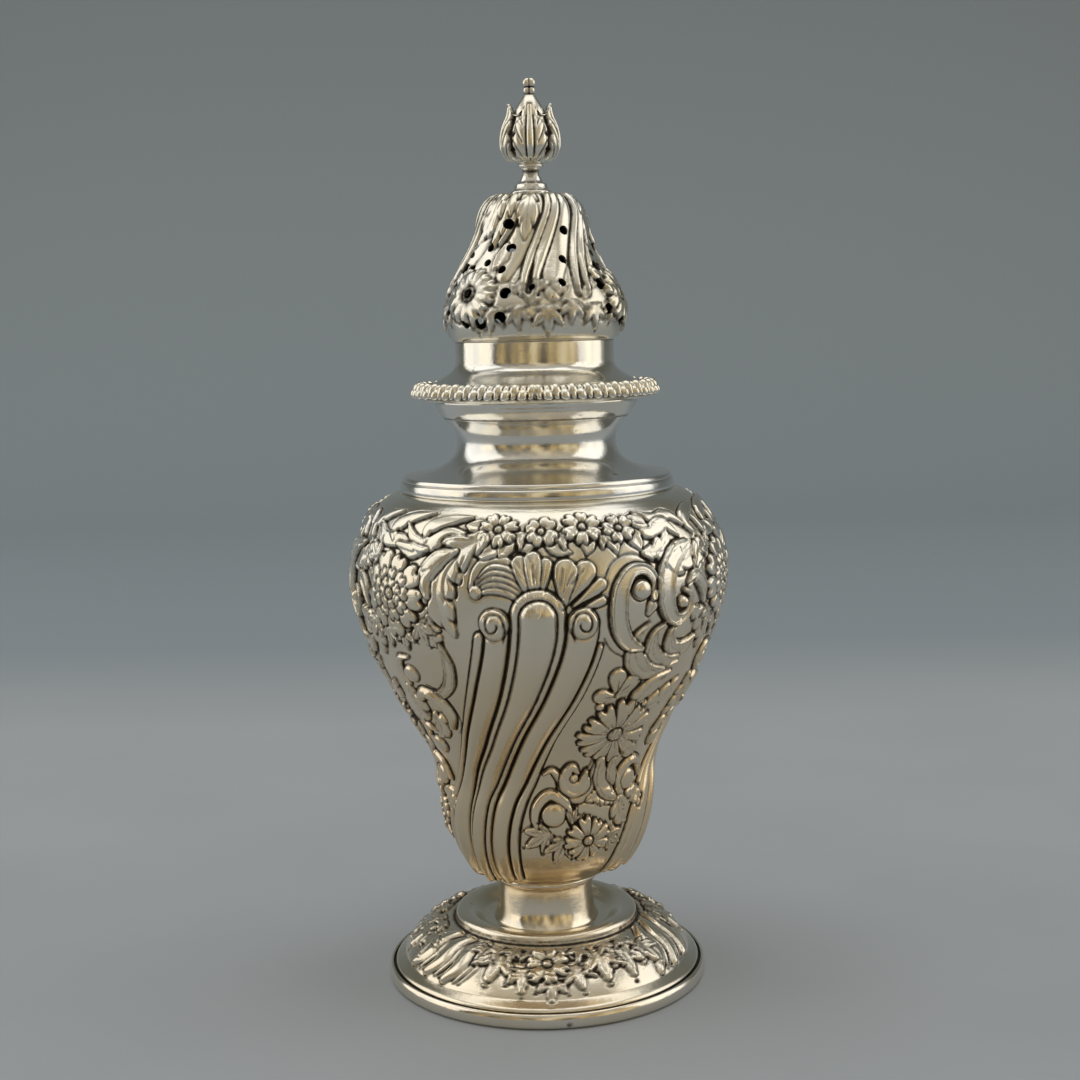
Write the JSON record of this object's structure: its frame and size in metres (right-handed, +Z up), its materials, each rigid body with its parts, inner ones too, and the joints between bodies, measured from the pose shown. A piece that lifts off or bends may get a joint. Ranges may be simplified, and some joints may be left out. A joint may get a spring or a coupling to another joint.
{
  "type": "sugar caster",
  "caption": "Silver baluster sugar caster: an embossed vase on a domed foot, with a pull-off pierced cover, gadrooned rim and bud finial.",
  "frame": {"origin": "centre of the foot's underside, on the surface that it stands on", "axes": "+Z up along the caster's axis, -Y the front, +X to the right seen from the front"},
  "size_m": [0.0846, 0.0846, 0.1999],
  "materials": {
    "polished_silver": "sterling silver, spun and polished, warm with age, fine wear scratches",
    "chased_silver": "sterling silver, embossed and chased in relief, polished on the high parts and dark with tarnish in the chased lines"
  },
  "bodies": {
    "vessel": {"foot_rim": "polished_silver", "foot_dome": "chased_silver", "foot_stem": "polished_silver", "bowl_ring": "polished_silver", "vase_body": "chased_silver", "shoulder_band": "polished_silver", "neck": "polished_silver", "neck_lip": "polished_silver"},
    "cover": {"cover_sleeve": "polished_silver", "gadroon_border": "chased_silver", "cover_collar": "polished_silver", "cover_dome": "chased_silver", "finial_collet": "polished_silver", "finial_bud": "chased_silver"}
  },
  "joints": [
    {"name": "cover_lift", "type": "slide", "parent": "vessel", "child": "cover", "axis": [0, 0, 1], "range_m": [0, 0.03]}
  ]
}
